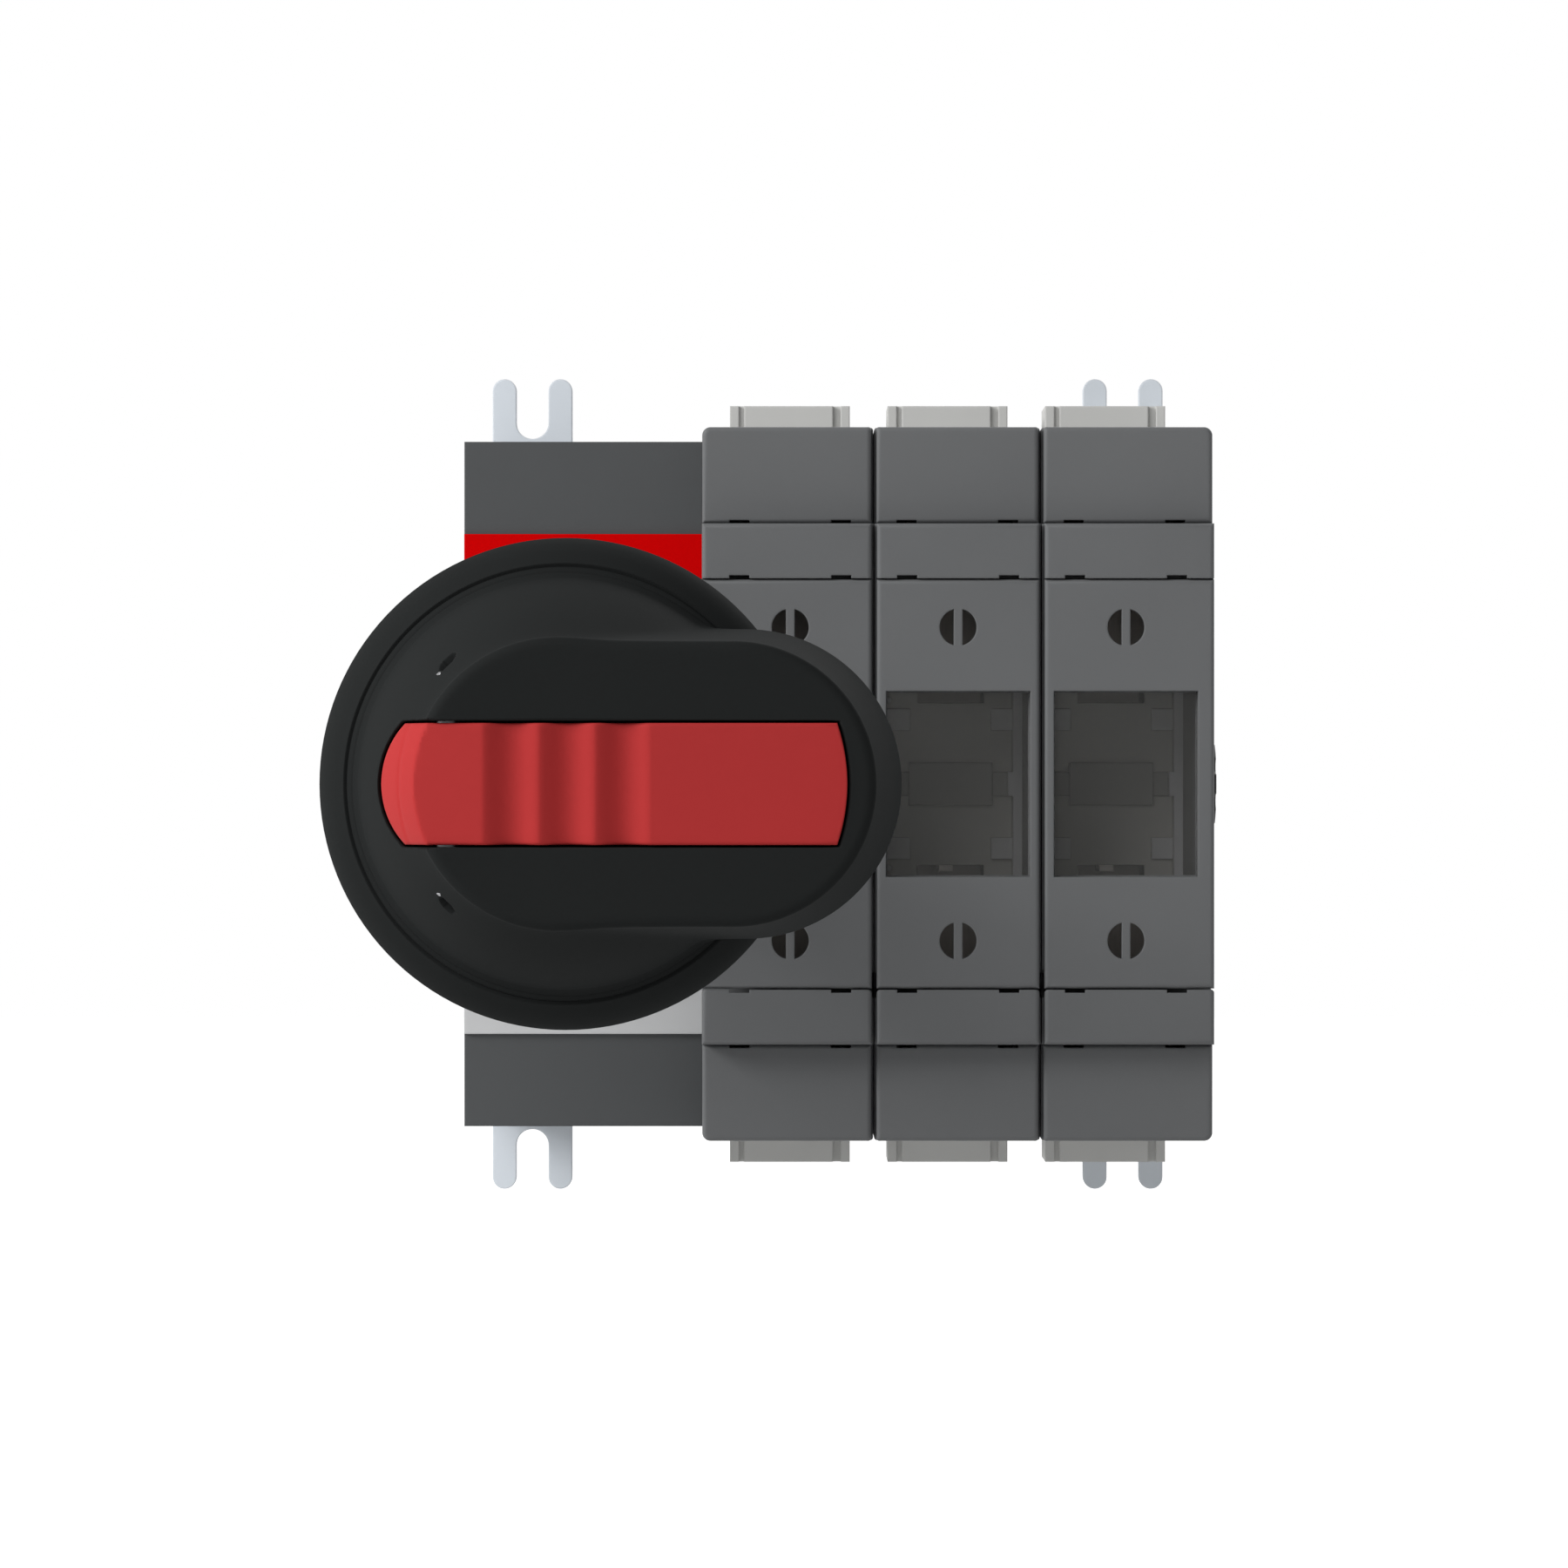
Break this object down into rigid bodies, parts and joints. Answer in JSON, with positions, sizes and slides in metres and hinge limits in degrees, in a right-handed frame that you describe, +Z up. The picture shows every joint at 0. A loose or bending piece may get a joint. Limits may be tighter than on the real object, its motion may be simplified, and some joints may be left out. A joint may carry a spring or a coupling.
{
  "type": "switch fuse",
  "caption": "Side-operated switch fuse: switch poles with hinged windowed fuse covers, a mechanism block and a round-based door handle on a square extension shaft.",
  "frame": {"origin": "on the rear mounting plane, at the middle of the four mounting slots", "axes": "+X to the right, +Z up as mounted, the front faces -Y"},
  "size_m": [0.1281, 0.1562, 0.1262],
  "materials": {
    "housing_grey": "fine matt moulding",
    "mechanism_grey": "fine matt moulding",
    "smoked_window": "smoked clear",
    "rotor_moulding": "matt",
    "copper": "silver plated copper",
    "shroud_grey": "matt",
    "steel": "zinc plated",
    "rail_finish": "pale satin",
    "gear_moulding": "matt",
    "red_plate": "satin print",
    "pale_plate": "satin print",
    "handle_black": "fine matt moulding",
    "seal_rubber": "matt",
    "lever_red": "satin"
  },
  "bodies": {
    "housing": {"pole_base_1": "housing_grey", "pole_body_1": "housing_grey", "upper_terminal_cover_1": "housing_grey", "lower_terminal_cover_1": "housing_grey", "terminal_bars_1": "copper", "fuse_clips_1": "copper", "upper_shroud_1": "shroud_grey", "lower_shroud_1": "shroud_grey", "pole_base_2": "housing_grey", "pole_body_2": "housing_grey", "upper_terminal_cover_2": "housing_grey", "lower_terminal_cover_2": "housing_grey", "terminal_bars_2": "copper", "fuse_clips_2": "copper", "upper_shroud_2": "shroud_grey", "lower_shroud_2": "shroud_grey", "pole_base_3": "housing_grey", "pole_body_3": "housing_grey", "upper_terminal_cover_3": "housing_grey", "lower_terminal_cover_3": "housing_grey", "terminal_bars_3": "copper", "fuse_clips_3": "copper", "upper_shroud_3": "shroud_grey", "lower_shroud_3": "shroud_grey", "mechanism_base": "mechanism_grey", "mechanism_cover": "mechanism_grey", "terminal_cages": "steel", "terminal_screws": "steel", "tie_rods": "steel", "gear_plate": "steel", "left_mounting_rail": "rail_finish", "right_mounting_rail": "rail_finish", "red_label_plate": "red_plate", "grey_label_plate": "pale_plate", "handle_flange": "handle_black", "flange_gasket": "seal_rubber"},
    "handle": {"handle_grip": "handle_black", "retaining_ring": "steel", "set_screw": "steel", "lever_pin": "steel", "handle_shaft": "steel", "drive_gear": "gear_moulding"},
    "padlock_lever": {"padlock_lever": "lever_red"},
    "drive_slide": {"drive_slide": "gear_moulding"},
    "switch_shaft": {"cross_gear": "gear_moulding", "cross_shaft": "steel", "side_cap": "gear_moulding", "rotor_1": "rotor_moulding", "rotor_2": "rotor_moulding", "rotor_3": "rotor_moulding", "contact_bridges_1": "copper", "contact_bridges_2": "copper", "contact_bridges_3": "copper"},
    "fuse_cover_1": {"fuse_cover_1": "housing_grey", "window_pane_1": "smoked_window"},
    "fuse_cover_2": {"fuse_cover_2": "housing_grey", "window_pane_2": "smoked_window"},
    "fuse_cover_3": {"fuse_cover_3": "housing_grey", "window_pane_3": "smoked_window"}
  },
  "joints": [
    {"name": "handle_turn", "type": "hinge", "parent": "housing", "child": "handle", "pos_m": [-0.0361, -0.13, 0], "axis": [0, -1, 0], "range_deg": [0, 90]},
    {"name": "slide_travel", "type": "slide", "parent": "housing", "child": "drive_slide", "axis": [0, 0, 1], "range_m": [0, 0.01257]},
    {"name": "shaft_turn", "type": "hinge", "parent": "housing", "child": "switch_shaft", "pos_m": [0.0183, -0.0165, 0], "axis": [-1, 0, 0], "range_deg": [0, 90]},
    {"name": "lever_swing", "type": "hinge", "parent": "handle", "child": "padlock_lever", "pos_m": [-0.0507, -0.1495, 0], "axis": [0, 0, -1], "range_deg": [0, 25]},
    {"name": "cover_1_hinge", "type": "hinge", "parent": "housing", "child": "fuse_cover_1", "pos_m": [-0.0059, -0.0665, -0.0259], "axis": [1, 0, 0], "range_deg": [0, 90]},
    {"name": "cover_2_hinge", "type": "hinge", "parent": "housing", "child": "fuse_cover_2", "pos_m": [0.0183, -0.0665, -0.0259], "axis": [1, 0, 0], "range_deg": [0, 90]},
    {"name": "cover_3_hinge", "type": "hinge", "parent": "housing", "child": "fuse_cover_3", "pos_m": [0.0425, -0.0665, -0.0259], "axis": [1, 0, 0], "range_deg": [0, 90]}
  ],
  "couplings": [
    {"joint": "slide_travel", "follows": "handle_turn", "m_per_rad": 0.008},
    {"joint": "shaft_turn", "follows": "handle_turn", "ratio": 1}
  ]
}
